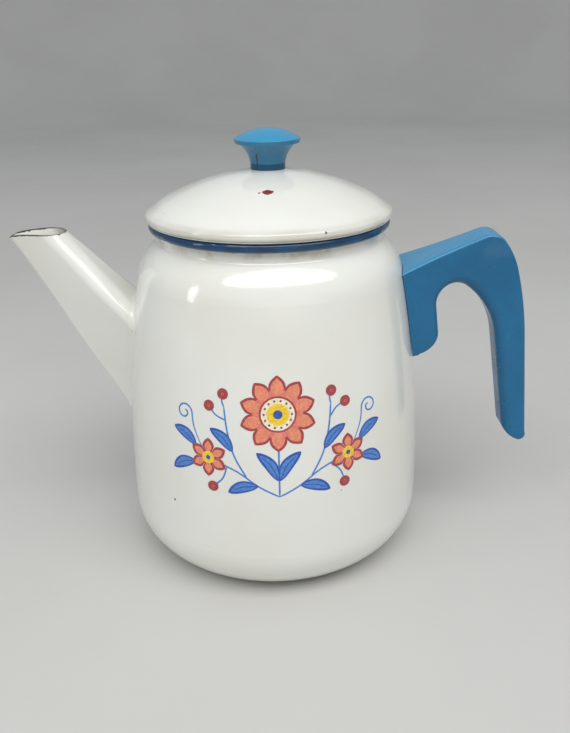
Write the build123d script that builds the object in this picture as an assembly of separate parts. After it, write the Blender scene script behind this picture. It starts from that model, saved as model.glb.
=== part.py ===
"""Enamelled stove-top coffee percolator.

Frame: millimetres, +Z up, origin on the pot's axis in the plane of its flat base.
The spout points to -X and the handle to +X.
"""

from build123d import *
import os
from math import acos, asin, cos, degrees, pi, radians, sin, tan

# ---------------------------------------------------------------- pot body
SHEET = 1.1                 # enamelled steel sheet of the body
WALL_RADIUS = 70.0          # largest radius, just above the base corner
BASE_CORNER = 25.0          # radius of the rounded base corner
WALL_SWEEP = 600.0          # radius of the gentle curve of the wall
SHOULDER_HEIGHT = 135.0     # where the wall turns into the shoulder
SHOULDER_RADIUS = 24.0
NECK_FILLET = 1.8
BEAD_HEIGHT = 156.3         # centre of the rolled bead at the mouth
BEAD_RADIUS = 51.5          # from the pot's axis to the bead's centre
BEAD_TUBE = 2.05            # radius of the bead itself
NECK_INNER = BEAD_RADIUS - BEAD_TUBE
MOUTH_TOP = BEAD_HEIGHT + BEAD_TUBE

# ---------------------------------------------------------------- spout
SPOUT_SHEET = 1.0
# height, reach of the keel, reach of the back edge, half angle of the keel in plan (degrees),
# rounding of the keel, rounding of the two ridges
SPOUT_SECTIONS = [
    (58.0, 66.3, 46.0, 25.0, 2.6, 5.0),
    (64.0, 69.5, 46.0, 25.0, 2.6, 5.5),
    (90.0, 83.6, 48.0, 25.0, 2.6, 6.5),
    (115.0, 96.8, 57.0, 25.0, 2.6, 6.5),
    (130.0, 104.6, 70.8, 24.0, 2.8, 7.0),
    (141.0, 110.7, 80.7, 21.0, 3.3, 7.0),
    (147.0, 114.2, 86.1, 18.5, 3.8, 7.3),
    (156.0, 122.0, 94.2, 17.0, 4.0, 7.5),
]
# side view of the mouth's edge, from in front of the lip to behind the back edge
MOUTH_EDGE = [(-119.5, 148.6), (-117.6, 150.4), (-115.0, 151.8), (-110.0, 152.7), (-103.0, 153.0), (-84.0, 153.1)]
STRAINER_HOLE = 2.0
STRAINER_PITCH = 6.4
STRAINER_BOTTOM = 77.0
STRAINER_TOP = 118.0

# ---------------------------------------------------------------- handle
GRIP_START = (50.0, 131.75)     # top edge, carried on into the body
GRIP_SLOPE = 21.0               # degrees, rise of the top edge
GRIP_TOP_RUN = 48.8
# radius and turn (degrees) of the arcs along the outside: corner, bend and back of the long leg
GRIP_CORNER = (8.0, 72.7)
GRIP_BEND = (40.0, 22.0)
GRIP_BACK = (174.0, 10.5)
GRIP_LEG_RUN = 50.8
GRIP_HEEL = [(122.3, 47.7), (119.8, 46.9)]
# the run that the fingers meet: up the short leg, round the arch, down the long leg
GRIP_FINGER_START = (77.3, 104.5)
GRIP_FINGER_SLOPE = 97.5
GRIP_FINGER_RUN = 13.0
GRIP_ARCH = (8.8, 134.0)
GRIP_ARCH_SWEEP = (37.5, 44.4)
GRIP_INSIDE_RUN = 48.0
GRIP_TOE = (115.2, 49.6)
GRIP_SOLE = [(74.9, 98.7), (68.5, 94.9)]
GRIP_UNDERSIDE = 93.4
GRIP_LEG_HALF_WIDTH = 8.9
GRIP_LEG_STARTS = 98.0          # from here outwards the grip keeps its width
GRIP_FLARE = 118.0              # plan radius of the sides towards the body
GRIP_FLARE_REACH = 48.0         # length of the flare along X
GRIP_EDGE = 1.6                 # rounding of the outer edges
GRIP_INNER_EDGE = 4.5           # rounding of the edges the fingers meet
GRIP_GAP = 0.25                 # between grip and body
GRIP_SCREW_X = 69.6
BRACKET_SHEET = 1.5
BRACKET_HALF_WIDTH = 6.0
BRACKET_BOTTOM = 105.0
BRACKET_TOP = 124.0
BRACKET_REACH = 73.2
BRACKET_SHELF = 112.0
BRACKET_SHELF_THICK = 2.5
POCKET_PLAY = 0.3
SCREW_RADIUS = 2.0              # M4, for the handle and the knob
SCREW_CLEARANCE = 0.25
SCREW_HEAD_RADIUS = 3.6
SCREW_HEAD_HEIGHT = 2.4
SCREW_HEAD_ROUNDING = 0.8
SCREW_SLOT_WIDTH = 1.0
SCREW_SLOT_DEPTH = 1.0
WASHER_RADIUS = 4.2
WASHER_THICK = 0.8
GRIP_SEAT = 101.5               # seat of the washer, up inside the short leg
HANDLE_SCREW_TOP = 117.5

# ---------------------------------------------------------------- lid
LID_SHEET = 1.0
LID_TOP = 179.4
LID_RADIUS = 54.6
LID_WIDEST = 160.8          # height of the widest part
LID_FULLNESS = (1.6, 0.75)      # powers that shape the dome, towards its middle and its edge
LID_STEPS = [0.2, 0.4, 0.6, 0.77, 0.9, 0.97]
LID_INNER_STEPS = 4             # how many of these steps the inside follows
DOME_INNER_RIM = (50.6, 163.0)
LID_TURN = (54.3, 159.5)        # the edge turning under
LIP_TUCK = (53.4, 159.0)        # where the dome tucks in above the rolled lip
LIP_INNER = 52.3
LIP_BOTTOM = 158.4
VENT_RADIUS = 0.9
VENT_REACH = 10.6
SKIRT_SHEET = 0.8
SKIRT_RADIUS = 48.6             # outside of the locating ring
SKIRT_BOTTOM = 149.5
LEDGE_RADIUS = 51.0             # ledge that rests on the bead
LID_REST_GAP = 0.2

# ---------------------------------------------------------------- knob
KNOB_BASE = 7.6
KNOB_BASE_TOP = 181.5
KNOB_WAIST = (8.9, 185.4)
KNOB_FLARE = (12.4, 189.6)
KNOB_RIM_LOW = (14.0, 189.8)
KNOB_RIM_HIGH = (14.45, 191.4)
KNOB_RIM_ROUNDING = 0.35
KNOB_TOP = 196.0
INSERT_RADIUS = 3.2
INSERT_BOTTOM = 180.0
INSERT_GROOVES = [182.5, 186.0] # bottoms of the insert's grip grooves
GROOVE_DEPTH = 0.4
GROOVE_WIDTH = 0.8
INSERT_TOP = 189.0
KNOB_SCREW_TOP = 187.5
GASKET_RADIUS = 7.0
KNOB_WASHER_RADIUS = 5.5
GASKET_BOTTOM = 176.9

# ---------------------------------------------------------------- percolator insert
TUBE_RADIUS = 4.0
TUBE_SHEET = 0.5
TUBE_BOTTOM = 11.0
TUBE_TOP = 167.0
FOOT_RADIUS = 31.0
FOOT_SHEET = 0.8
FOOT_BOTTOM = SHEET + 0.3
FOOT_CEILING = 14.0             # underside of the flat middle of the foot
FOOT_CEILING_RADIUS = 10.0
FOOT_SLEEVE_TOP = 24.0
FOOT_NOTCHES = 6
FOOT_NOTCH_RADIUS = 3.2
RETAINER_RADIUS = 9.0
RETAINER_BOTTOM = 6.0
RETAINER_HOLE = 4.2
RETAINER_PORTS = 8
RETAINER_PORT_RADIUS = 1.3
VALVE_RADIUS = 7.6
VALVE_THICK = 0.8
VALVE_BOTTOM = 7.0
STOP_RADIUS = 6.5
STOP_BOTTOM = 88.0
STOP_TOP = 91.5
BASKET_RADIUS = 44.0
BASKET_SHEET = 0.7
BASKET_BOTTOM = 91.8
BASKET_TOP = 138.0
BASKET_CORNER = 5.0
BASKET_RIM_TUBE = 1.1
SLEEVE_INNER = TUBE_RADIUS + 0.35
SLEEVE_OUTER = SLEEVE_INNER + 0.7
SLEEVE_TOP = 112.0
PERFORATION = 1.0               # radius of the basket's holes
PERFORATION_RINGS = [(12.0, 12), (19.0, 18), (26.0, 24), (33.0, 30)]
SIDE_ROWS = [104.0, 111.0, 118.0]
SIDE_HOLES = 30
SPREADER_RADIUS = 45.6
SPREADER_SHEET = 0.7
SPREADER_BOTTOM = BASKET_TOP + BASKET_RIM_TUBE + 0.3
SPREADER_RING = 42.6            # ring that centres the cover in the basket
SPREADER_RING_BOTTOM = 133.5
SPREADER_HUB_TOP = 147.0


def revolved(outline):
    """Solid of revolution about Z from a closed outline drawn in the XZ plane."""
    return revolve(Plane.XZ * make_face(outline), Axis.Z)


def polygon(points):
    return Polyline(*points, close=True)


def ring(outer, inner, bottom, top):
    """Round ring standing on the pot's axis."""
    height = top - bottom
    body = Pos(0, 0, bottom + height / 2) * Cylinder(outer, height)
    if inner > 0:
        body -= Pos(0, 0, bottom + height / 2) * Cylinder(inner, height + 2)
    return body


def block(x0, x1, y0, y1, z0, z1):
    """Box between two corners."""
    centre = Pos((x0 + x1) / 2, (y0 + y1) / 2, (z0 + z1) / 2)
    return centre * Box(x1 - x0, y1 - y0, z1 - z0)


def around(count, start=0.0):
    """Evenly spaced angles in degrees."""
    return [start + 360.0 * k / count for k in range(count)]


# ---------------------------------------------------------------- pot

def body_outline(inset):
    """Points of the body's outline, moved inwards by inset, from the base to the top of the neck.

    The outline is made of tangent arcs that keep their centres, so an inset outline is parallel to
    the outer one. Returns the edges and the last point.
    """
    sweep = asin((SHOULDER_HEIGHT - BASE_CORNER) / WALL_SWEEP)
    corner = (WALL_RADIUS - BASE_CORNER, BASE_CORNER)
    wall = (WALL_RADIUS - WALL_SWEEP, BASE_CORNER)
    reach = WALL_SWEEP - SHOULDER_RADIUS
    shoulder = (wall[0] + reach * cos(sweep), wall[1] + reach * sin(sweep))
    neck_outer = NECK_INNER + SHEET
    neck_x = neck_outer + NECK_FILLET
    both = SHOULDER_RADIUS + NECK_FILLET
    turn = acos((neck_x - shoulder[0]) / both)
    neck = (neck_x, shoulder[1] + both * sin(turn))

    def on(centre, radius, angle):
        return (centre[0] + radius * cos(angle), centre[1] + radius * sin(angle))

    def arc(centre, radius, start, end):
        middle = (start + end) / 2
        return ThreePointArc(on(centre, radius, start), on(centre, radius, middle), on(centre, radius, end))

    return [
        arc(corner, BASE_CORNER - inset, -pi / 2, 0),
        arc(wall, WALL_SWEEP - inset, 0, sweep),
        arc(shoulder, SHOULDER_RADIUS - inset, sweep, turn),
        arc(neck, NECK_FILLET + inset, turn + pi, pi),
    ], neck


def body_solid(inset):
    """The body filled in, up to the bead, with its surface moved inwards by inset."""
    edges, neck = body_outline(inset)
    base = inset
    side = NECK_INNER + SHEET - inset
    outline = [Line((0, base), (WALL_RADIUS - BASE_CORNER, base))] + edges
    outline.append(Polyline((side, neck[1]), (side, BEAD_HEIGHT), (0, BEAD_HEIGHT), (0, base)))
    return revolved(outline)


def spout_section(height, keel, back, half_angle, keel_rounding, ridge_rounding, inset):
    """Rounded triangle: a level cut through the spout, its keel towards -X."""
    slope = radians(half_angle)
    apex = keel + keel_rounding / sin(slope) - keel_rounding - inset / sin(slope)
    rear = back + inset
    half = (apex - rear) * tan(slope)
    sketch = make_face(polygon([(-apex, 0), (-rear, -half), (-rear, half)]))
    corners = sketch.vertices().sort_by(Axis.X)
    sketch = fillet(corners[1:], ridge_rounding - inset)
    sketch = fillet(sketch.vertices().sort_by(Axis.X)[:1], keel_rounding - inset)
    return Pos(0, 0, height) * sketch


def spout_loft(inset):
    return loft([spout_section(*row, inset) for row in SPOUT_SECTIONS])


def mouth_cutter():
    """Everything above the curved edge of the spout's mouth."""
    edge = Spline(*MOUTH_EDGE)
    front, back = MOUTH_EDGE[0], MOUTH_EDGE[-1]
    roof = Polyline(back, (back[0], back[1] + 30), (front[0] - 10, back[1] + 30), (front[0] - 10, front[1]), front)
    return extrude(Plane.XZ * make_face([edge, roof]), 40, both=True)


def strainer_holes():
    """Holes through the body wall behind the spout, in staggered rows that fill its width."""
    holes = []
    rows = int((STRAINER_TOP - STRAINER_BOTTOM) / STRAINER_PITCH) + 1
    lowest, highest = SPOUT_SECTIONS[1], SPOUT_SECTIONS[3]
    spread = tan(radians(lowest[3]))
    for row in range(rows):
        height = STRAINER_BOTTOM + row * STRAINER_PITCH
        along = (height - lowest[0]) / (highest[0] - lowest[0])
        keel = lowest[1] + along * (highest[1] - lowest[1])
        wide = (keel - WALL_RADIUS) * spread - STRAINER_HOLE
        shift = STRAINER_PITCH / 2 if row % 2 else 0.0
        for column in range(-3, 4):
            side = column * STRAINER_PITCH + shift
            if abs(side) <= wide:
                holes.append(Pos(-WALL_RADIUS, side, height) * Rot(0, 90, 0) * Cylinder(STRAINER_HOLE, 30))
    return holes


def make_pot_body():
    """Drawn body with a rolled bead round its mouth and strainer holes behind the spout."""
    bead = revolved([Pos(BEAD_RADIUS, BEAD_HEIGHT) * Circle(BEAD_TUBE).edge()])
    hollow = body_solid(SHEET) + ring(NECK_INNER, 0, BEAD_HEIGHT - 10, MOUTH_TOP + 1)
    return body_solid(0) + bead - hollow - strainer_holes()


def make_spout():
    """Folded sheet spout, open at its mouth and towards the body it is welded to."""
    return spout_loft(0) - spout_loft(SPOUT_SHEET) - body_solid(0) - mouth_cutter()


# ---------------------------------------------------------------- handle

def heading(angle):
    """Direction at an angle in degrees from level, in a side view."""
    return Vector(1, 0).rotate(Axis.Z, angle)


def turn_on(edge, arc, side):
    """Tangent arc that goes on from an edge. arc is its radius and turn, side is 1 left or -1 right."""
    radius, turn = arc
    return JernArc(edge @ 1, edge % 1, radius, side * turn)


def run_on(edge, length):
    """Straight run that goes on from an edge."""
    return Line(edge @ 1, edge @ 1 + (edge % 1) * length)


def grip_curves():
    """Curves of the grip's side view: the outer run, the run the fingers meet, and the rest."""
    top = Line(GRIP_START, GRIP_START + heading(GRIP_SLOPE) * GRIP_TOP_RUN)
    corner = turn_on(top, GRIP_CORNER, -1)
    bend = turn_on(corner, GRIP_BEND, -1)
    back = turn_on(bend, GRIP_BACK, -1)
    leg = run_on(back, GRIP_LEG_RUN)
    heel = ThreePointArc(leg @ 1, *GRIP_HEEL)
    rise = Line(GRIP_FINGER_START, GRIP_FINGER_START + heading(GRIP_FINGER_SLOPE) * GRIP_FINGER_RUN)
    arch = turn_on(rise, GRIP_ARCH, -1)
    sweep = turn_on(arch, GRIP_ARCH_SWEEP, -1)
    inside = run_on(sweep, GRIP_INSIDE_RUN)
    toe = ThreePointArc(inside @ 1, GRIP_TOE, heel @ 1)
    sole = ThreePointArc(rise @ 0, *GRIP_SOLE)
    under = Line(sole @ 1, (GRIP_START[0], GRIP_UNDERSIDE))
    root = Line(under @ 1, GRIP_START)
    return [top, corner, bend, back, leg, heel], [rise, arch, sweep, inside], [toe, sole, under, root]


def grip_plan():
    """Top view of the grip: straight leg, sides flaring towards the body."""
    end_x = GRIP_LEG_STARTS + 30
    side = Line((end_x, GRIP_LEG_HALF_WIDTH), (GRIP_LEG_STARTS, GRIP_LEG_HALF_WIDTH))
    flare = JernArc(side @ 1, side % 1, GRIP_FLARE, -degrees(asin(GRIP_FLARE_REACH / GRIP_FLARE)))
    far = flare @ 1
    root = Line(far, (far.X, -far.Y))
    end = Line((end_x, GRIP_LEG_HALF_WIDTH), (end_x, -GRIP_LEG_HALF_WIDTH))
    return make_face([side, flare, root, end, mirror(side, Plane.XZ), mirror(flare, Plane.XZ)])


def side_edges(solid, curves):
    """Edges of the grip's two sides that run along the given curves of its side view."""
    chosen = []
    for edge in solid.edges():
        middle = edge.position_at(0.5)
        flat = Vector(middle.X, middle.Z)
        if abs(middle.Y) > 1 and min(curve.distance_to(flat) for curve in curves) < 0.05:
            chosen.append(edge)
    return chosen


def grip_hollows():
    """Pocket round the bracket, the screw's clear hole and the washer's seat, to be cut away."""
    half = BRACKET_HALF_WIDTH + POCKET_PLAY
    pocket = block(
        GRIP_START[0], BRACKET_REACH + POCKET_PLAY, -half, half,
        BRACKET_BOTTOM - POCKET_PLAY, BRACKET_TOP + POCKET_PLAY,
    )
    axis = Pos(GRIP_SCREW_X, 0, 0)
    seat = axis * ring(WASHER_RADIUS + POCKET_PLAY, 0, GRIP_SEAT - 20, GRIP_SEAT)
    clear = axis * ring(SCREW_RADIUS + SCREW_CLEARANCE, 0, GRIP_SEAT - 1, BRACKET_TOP)
    return pocket + seat + clear


def make_handle_grip():
    """Moulded grip with rounded edges, a pocket for the bracket and a deep screw seat."""
    outer_run, finger_run, rest = grip_curves()
    side = extrude(Plane.XZ * make_face(outer_run + finger_run + rest), 30, both=True)
    plan = extrude(Pos(0, 0, 30) * grip_plan(), 140)
    grip = side & plan
    grip = fillet(side_edges(grip, finger_run), GRIP_INNER_EDGE)
    grip = fillet(side_edges(grip, outer_run + rest[:2]), GRIP_EDGE)
    return grip - body_solid(-GRIP_GAP) - grip_hollows()


def make_handle_bracket():
    """Folded steel bracket welded to the body: back plate and a threaded shelf."""
    plate_outer = body_solid(-BRACKET_SHEET)
    plate = plate_outer & block(40, 90, -BRACKET_HALF_WIDTH, BRACKET_HALF_WIDTH, BRACKET_BOTTOM, BRACKET_TOP)
    shelf_top = BRACKET_SHELF + BRACKET_SHELF_THICK
    shelf = block(55, BRACKET_REACH, -BRACKET_HALF_WIDTH, BRACKET_HALF_WIDTH, BRACKET_SHELF, shelf_top)
    hole = Pos(GRIP_SCREW_X, 0, BRACKET_SHELF) * Cylinder(SCREW_RADIUS, 20)
    return plate + shelf - body_solid(0) - hole


def upward_screw(head_top, tip):
    """Slotted pan head screw on the Z axis, its head below and its tip up."""
    head_bottom = head_top - SCREW_HEAD_HEIGHT
    head = ring(SCREW_HEAD_RADIUS, 0, head_bottom, head_top)
    head = fillet(head.edges().group_by(Axis.Z)[0], SCREW_HEAD_ROUNDING)
    half = SCREW_SLOT_WIDTH / 2
    slot_top = head_bottom + SCREW_SLOT_DEPTH
    slot = block(-SCREW_HEAD_RADIUS, SCREW_HEAD_RADIUS, -half, half, head_bottom - 1, slot_top)
    return head - slot + ring(SCREW_RADIUS, 0, head_top, tip)


def make_handle_screw():
    """Screw from below the short leg, up into the bracket's shelf."""
    return Pos(GRIP_SCREW_X, 0, 0) * upward_screw(GRIP_SEAT - WASHER_THICK, HANDLE_SCREW_TOP)


def make_handle_washer():
    return Pos(GRIP_SCREW_X, 0, 0) * ring(
        WASHER_RADIUS, SCREW_RADIUS + SCREW_CLEARANCE, GRIP_SEAT - WASHER_THICK, GRIP_SEAT
    )


# ---------------------------------------------------------------- lid

def dome_height(radius):
    """Height of the lid's outside at a distance from its axis."""
    middle, edge = LID_FULLNESS
    return LID_WIDEST + (LID_TOP - LID_WIDEST) * (1 - (radius / LID_RADIUS) ** middle) ** edge


def outer_dome():
    """Outside of the dome, from its top to its widest point."""
    points = [(LID_RADIUS * step, dome_height(LID_RADIUS * step)) for step in LID_STEPS]
    return Spline((0, LID_TOP), *points, (LID_RADIUS, LID_WIDEST), tangents=[(1, 0), (0, -1)])


def inner_dome():
    """Inside of the dome, one sheet below the outside, from the rolled edge to the middle."""
    steps = LID_STEPS[:LID_INNER_STEPS]
    points = [(LID_RADIUS * step, dome_height(LID_RADIUS * step) - LID_SHEET) for step in steps]
    return Spline(DOME_INNER_RIM, *reversed(points), (0, LID_TOP - LID_SHEET), tangents=[(-0.76, 0.65), (-1, 0)])


def lid_outline():
    """Half section of the lid: dome, tucked edge, rolled lip and inside."""
    widest = (LID_RADIUS, LID_WIDEST)
    tuck = ThreePointArc(widest, LID_TURN, LIP_TUCK)
    lip_low = (LIP_TUCK[0] - 0.25, LIP_BOTTOM)
    lip_side = (LIP_TUCK[0] + 0.25, (LIP_TUCK[1] + LIP_BOTTOM) / 2)
    lip = ThreePointArc(LIP_TUCK, lip_side, lip_low)
    roll = Polyline(lip_low, (LIP_INNER, LIP_BOTTOM + 0.2), (LIP_INNER, LID_WIDEST), DOME_INNER_RIM)
    axis = Line((0, LID_TOP - LID_SHEET), (0, LID_TOP))
    return [outer_dome(), tuck, lip, roll, inner_dome(), axis]


def lid_filled():
    """The space under the lid's outside, used to seat what stands on the dome."""
    return revolved([outer_dome(), Polyline((LID_RADIUS, LID_WIDEST), (0, LID_WIDEST), (0, LID_TOP))])


def lid_inside():
    """The space under the lid's inside, used to seat what hangs below the dome."""
    top = (0, LID_TOP - LID_SHEET)
    return revolved([inner_dome(), Polyline(top, (0, DOME_INNER_RIM[1]), DOME_INNER_RIM)])


def make_lid_shell():
    """Domed lid with a hole for the knob's screw and a small steam vent."""
    screw_hole = ring(SCREW_RADIUS + SCREW_CLEARANCE, 0, LID_TOP - 10, LID_TOP + 5)
    vent = Pos(VENT_REACH, 0, 0) * ring(VENT_RADIUS, 0, LID_TOP - 10, LID_TOP + 5)
    return revolved(lid_outline()) - screw_hole - vent


def make_lid_skirt():
    """Ring under the lid that enters the neck, with a ledge that rests on the bead."""
    ledge = MOUTH_TOP + LID_REST_GAP
    inner = SKIRT_RADIUS - SKIRT_SHEET
    step = LIP_BOTTOM + 0.5
    outline = [
        (inner, SKIRT_BOTTOM),
        (SKIRT_RADIUS, SKIRT_BOTTOM),
        (SKIRT_RADIUS, ledge),
        (LEDGE_RADIUS, ledge),
        (LEDGE_RADIUS, step),
        (LIP_INNER, step),
        (LIP_INNER, step + SKIRT_SHEET),
        (inner, step + SKIRT_SHEET),
    ]
    return revolved([polygon(outline)])


# ---------------------------------------------------------------- knob

def crown_arc(rim, top):
    """Arc from a rim point up to the axis, level where it meets the axis."""
    rise = top - rim[1]
    radius = (rim[0] ** 2 + rise ** 2) / (2 * rise)
    half_turn = asin(rim[0] / radius) / 2
    middle = (radius * sin(half_turn), top - radius + radius * cos(half_turn))
    return ThreePointArc(rim, middle, (0, top))


def make_lid_knob():
    """Moulded knob: short cylinder, hollow flare, conical rim and domed top."""
    below = LID_TOP - 3
    outline = [
        Polyline((0, below), (KNOB_BASE, below), (KNOB_BASE, KNOB_BASE_TOP)),
        ThreePointArc((KNOB_BASE, KNOB_BASE_TOP), KNOB_WAIST, KNOB_FLARE),
        Polyline(KNOB_FLARE, KNOB_RIM_LOW, KNOB_RIM_HIGH),
        crown_arc(KNOB_RIM_HIGH, KNOB_TOP),
        Line((0, KNOB_TOP), (0, below)),
    ]
    half = make_face(outline)
    half = fillet(half.vertices().sort_by(Axis.X)[-1:], KNOB_RIM_ROUNDING)
    knob = revolve(Plane.XZ * half, Axis.Z)
    insert_space = ring(INSERT_RADIUS, 0, INSERT_BOTTOM, INSERT_TOP)
    screw_space = ring(SCREW_RADIUS + SCREW_CLEARANCE, 0, below - 1, INSERT_BOTTOM + 1)
    return knob - lid_filled() - (insert_space + screw_space)


def make_knob_insert():
    """Brass insert with two grip grooves, its thread closed at the top."""
    insert = ring(INSERT_RADIUS, 0, INSERT_BOTTOM, INSERT_TOP)
    grooves = [
        ring(INSERT_RADIUS + 1, INSERT_RADIUS - GROOVE_DEPTH, height, height + GROOVE_WIDTH)
        for height in INSERT_GROOVES
    ]
    return insert - grooves - ring(SCREW_RADIUS, 0, INSERT_BOTTOM - 1, KNOB_SCREW_TOP)


def make_knob_screw():
    """Screw that holds the knob from inside the lid."""
    return upward_screw(GASKET_BOTTOM - WASHER_THICK, KNOB_SCREW_TOP)


def make_knob_washer():
    return ring(KNOB_WASHER_RADIUS, SCREW_RADIUS + SCREW_CLEARANCE, GASKET_BOTTOM - WASHER_THICK, GASKET_BOTTOM)


def make_knob_gasket():
    """Rubber washer that seals the screw hole, shaped by the inside of the dome."""
    return ring(GASKET_RADIUS, SCREW_RADIUS + SCREW_CLEARANCE, GASKET_BOTTOM, LID_TOP) & lid_inside()


# ---------------------------------------------------------------- percolator insert

def make_pump_tube():
    return ring(TUBE_RADIUS, TUBE_RADIUS - TUBE_SHEET, TUBE_BOTTOM, TUBE_TOP)


def make_pump_foot():
    """Flared foot: sleeve for the tube, flat middle, cone down to the pot's floor, water notches."""
    inner_rim = (FOOT_RADIUS - FOOT_SHEET, FOOT_BOTTOM)
    outline = [
        (TUBE_RADIUS, FOOT_CEILING),
        (FOOT_CEILING_RADIUS, FOOT_CEILING),
        inner_rim,
        (FOOT_RADIUS, FOOT_BOTTOM),
        (FOOT_CEILING_RADIUS + 0.4, FOOT_CEILING + FOOT_SHEET),
        (TUBE_RADIUS + FOOT_SHEET, FOOT_CEILING + FOOT_SHEET),
        (TUBE_RADIUS + FOOT_SHEET, FOOT_SLEEVE_TOP),
        (TUBE_RADIUS, FOOT_SLEEVE_TOP),
    ]
    foot = revolved([polygon(outline)])
    for angle in around(FOOT_NOTCHES):
        foot -= Rot(0, 0, angle) * Pos(FOOT_RADIUS, 0, FOOT_BOTTOM) * Rot(0, 90, 0) * Cylinder(FOOT_NOTCH_RADIUS, 16)
    return foot


def make_valve_retainer():
    """Cup under the foot's middle that keeps the valve disc in, with ports for the water."""
    cup = ring(RETAINER_RADIUS, 0, RETAINER_BOTTOM, FOOT_CEILING)
    cup -= ring(RETAINER_RADIUS - FOOT_SHEET, 0, RETAINER_BOTTOM + FOOT_SHEET, FOOT_CEILING + 1)
    cup -= ring(RETAINER_HOLE, 0, RETAINER_BOTTOM - 1, RETAINER_BOTTOM + 2)
    for angle in around(RETAINER_PORTS):
        port = Pos(RETAINER_RADIUS, 0, FOOT_CEILING - 3) * Rot(0, 90, 0) * Cylinder(RETAINER_PORT_RADIUS, 4)
        cup -= Rot(0, 0, angle) * port
    return cup


def make_foot_valve():
    return ring(VALVE_RADIUS, 0, VALVE_BOTTOM, VALVE_BOTTOM + VALVE_THICK)


def make_basket_stop():
    """Collar on the tube that carries the basket."""
    stop = ring(STOP_RADIUS, TUBE_RADIUS, STOP_BOTTOM, STOP_TOP)
    rims = stop.edges().filter_by(GeomType.CIRCLE).group_by(Axis.Z)[0].sort_by(SortBy.RADIUS)
    return chamfer(rims[-1:], 1.0)


def perforations(rings, bottom, top):
    """Upright holes in rings of (radius, count)."""
    holes = []
    for radius, count in rings:
        for angle in around(count, 180.0 / count):
            hole = ring(PERFORATION, 0, bottom, top)
            holes.append(Rot(0, 0, angle) * Pos(radius, 0, 0) * hole)
    return holes


def make_coffee_basket():
    """Perforated cup with a rolled rim and a centre sleeve that slides on the tube."""
    inner = BASKET_RADIUS - BASKET_SHEET
    cup = ring(BASKET_RADIUS, 0, BASKET_BOTTOM, BASKET_TOP)
    cup = fillet(cup.edges().group_by(Axis.Z)[0], BASKET_CORNER)
    space = ring(inner, 0, BASKET_BOTTOM + BASKET_SHEET, BASKET_TOP + 1)
    space = fillet(space.edges().group_by(Axis.Z)[0], BASKET_CORNER - BASKET_SHEET)
    rim = revolved([Pos(BASKET_RADIUS + BASKET_RIM_TUBE - BASKET_SHEET, BASKET_TOP) * Circle(BASKET_RIM_TUBE).edge()])
    basket = cup - space + rim + ring(SLEEVE_OUTER, 0, BASKET_BOTTOM, SLEEVE_TOP)
    basket -= ring(SLEEVE_INNER, 0, BASKET_BOTTOM - 1, SLEEVE_TOP + 1)
    basket -= perforations(PERFORATION_RINGS, BASKET_BOTTOM - 1, BASKET_BOTTOM + 2)
    drills = []
    for row, height in enumerate(SIDE_ROWS):
        for angle in around(SIDE_HOLES, 180.0 / SIDE_HOLES * (row % 2)):
            drill = Pos(BASKET_RADIUS, 0, height) * Rot(0, 90, 0) * Cylinder(PERFORATION, 4)
            drills.append(Rot(0, 0, angle) * drill)
    return basket - drills


def make_basket_spreader():
    """Perforated cover that lies on the basket's rim, centred by a ring and by its hub."""
    top = SPREADER_BOTTOM + SPREADER_SHEET
    cover = ring(SPREADER_RADIUS, SLEEVE_INNER, SPREADER_BOTTOM, top)
    cover += ring(SPREADER_RING, SPREADER_RING - SPREADER_SHEET, SPREADER_RING_BOTTOM, top)
    cover += ring(SLEEVE_OUTER, SLEEVE_INNER, SPREADER_BOTTOM, SPREADER_HUB_TOP)
    return cover - perforations(PERFORATION_RINGS, SPREADER_BOTTOM - 1, top + 1)


PARTS = {
    "pot_body": make_pot_body,
    "spout": make_spout,
    "handle_bracket": make_handle_bracket,
    "handle_grip": make_handle_grip,
    "handle_screw": make_handle_screw,
    "handle_washer": make_handle_washer,
    "lid_shell": make_lid_shell,
    "lid_skirt": make_lid_skirt,
    "lid_knob": make_lid_knob,
    "knob_insert": make_knob_insert,
    "knob_screw": make_knob_screw,
    "knob_washer": make_knob_washer,
    "knob_gasket": make_knob_gasket,
    "pump_tube": make_pump_tube,
    "pump_foot": make_pump_foot,
    "valve_retainer": make_valve_retainer,
    "foot_valve": make_foot_valve,
    "basket_stop": make_basket_stop,
    "coffee_basket": make_coffee_basket,
    "basket_spreader": make_basket_spreader,
}


def main():
    os.makedirs("parts", exist_ok=True)
    for name, make in PARTS.items():
        export_step(make(), f"parts/{name}.step")


main()
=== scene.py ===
"""Looks of the enamelled coffee percolator, built round its CAD parts.

Metres, +Z up, origin on the pot's axis in the plane of its base, spout towards -X, handle towards +X.
Sizes below are in millimetres and are turned into metres by MM.
"""
from math import cos, hypot, pi, radians, sin, sqrt

import bmesh
import bpy
from mathutils import Euler, Matrix, Vector


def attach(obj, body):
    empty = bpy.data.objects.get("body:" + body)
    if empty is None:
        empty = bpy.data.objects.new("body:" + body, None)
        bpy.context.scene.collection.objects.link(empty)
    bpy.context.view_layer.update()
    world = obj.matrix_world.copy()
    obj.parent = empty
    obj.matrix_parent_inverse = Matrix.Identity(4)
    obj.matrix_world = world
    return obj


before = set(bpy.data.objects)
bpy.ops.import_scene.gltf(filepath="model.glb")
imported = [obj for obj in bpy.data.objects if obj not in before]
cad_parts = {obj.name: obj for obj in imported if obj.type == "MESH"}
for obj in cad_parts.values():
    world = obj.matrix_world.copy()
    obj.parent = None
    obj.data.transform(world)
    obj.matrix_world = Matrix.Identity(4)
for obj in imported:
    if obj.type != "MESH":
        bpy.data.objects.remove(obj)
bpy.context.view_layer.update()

MM = 0.001

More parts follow.
